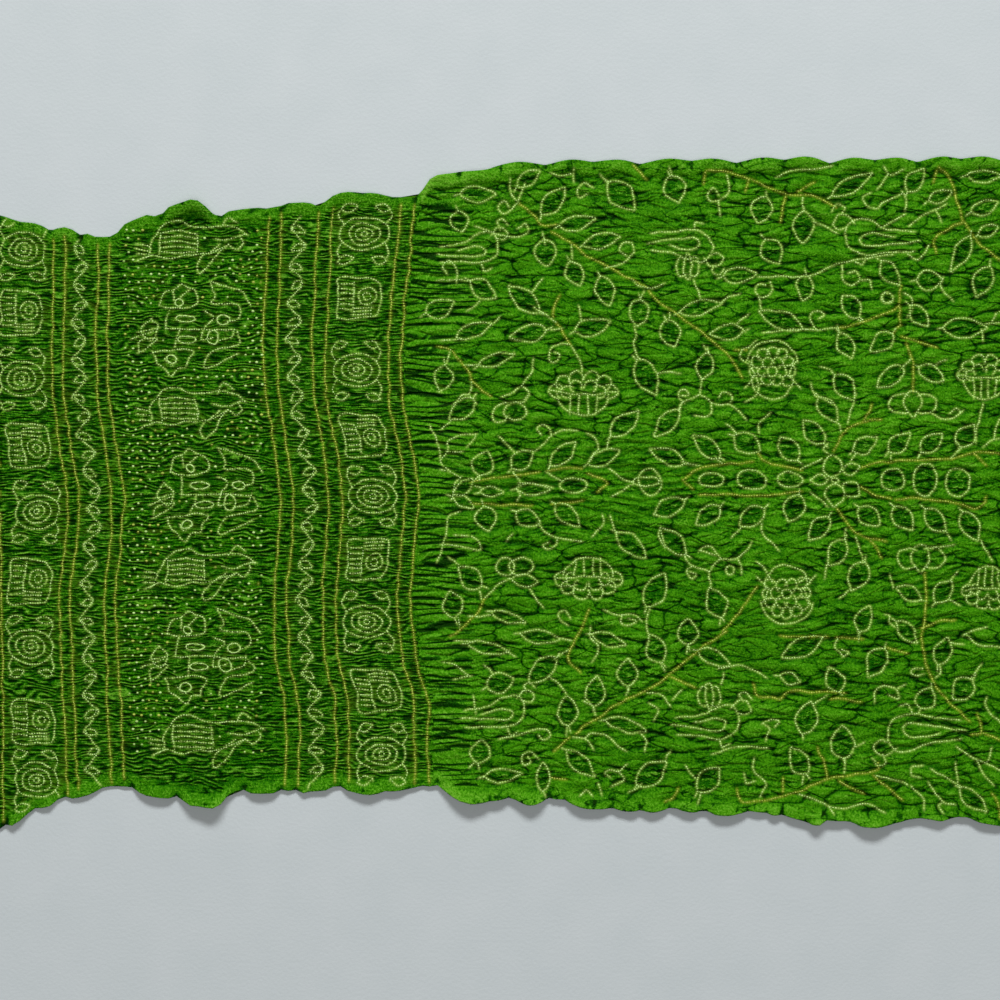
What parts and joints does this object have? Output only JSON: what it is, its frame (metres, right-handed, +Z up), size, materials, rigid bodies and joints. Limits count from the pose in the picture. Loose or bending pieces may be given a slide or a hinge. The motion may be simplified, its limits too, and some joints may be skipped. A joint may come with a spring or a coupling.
{
  "type": "bandhani cloth",
  "caption": "Crinkled tied and dyed silk laid flat, with ruffled selvedges, dotted borders across one end and a leafy dotted field.",
  "frame": {"origin": "middle of the cloth, on the surface that it lies on", "axes": "+X along the length, from the bordered end to the leafy field; +Y across the width; +Z up, off the surface"},
  "size_m": [0.9986, 0.6687, 0.0123],
  "materials": {
    "silk": "soft sheen, leaf green, crinkled",
    "cream_dots": "silk left undyed where it was tied, matt",
    "mustard_dots": "silk dyed mustard before it was tied, matt"
  },
  "bodies": {
    "root": {"bandhani_cloth": "silk"}
  },
  "joints": []
}
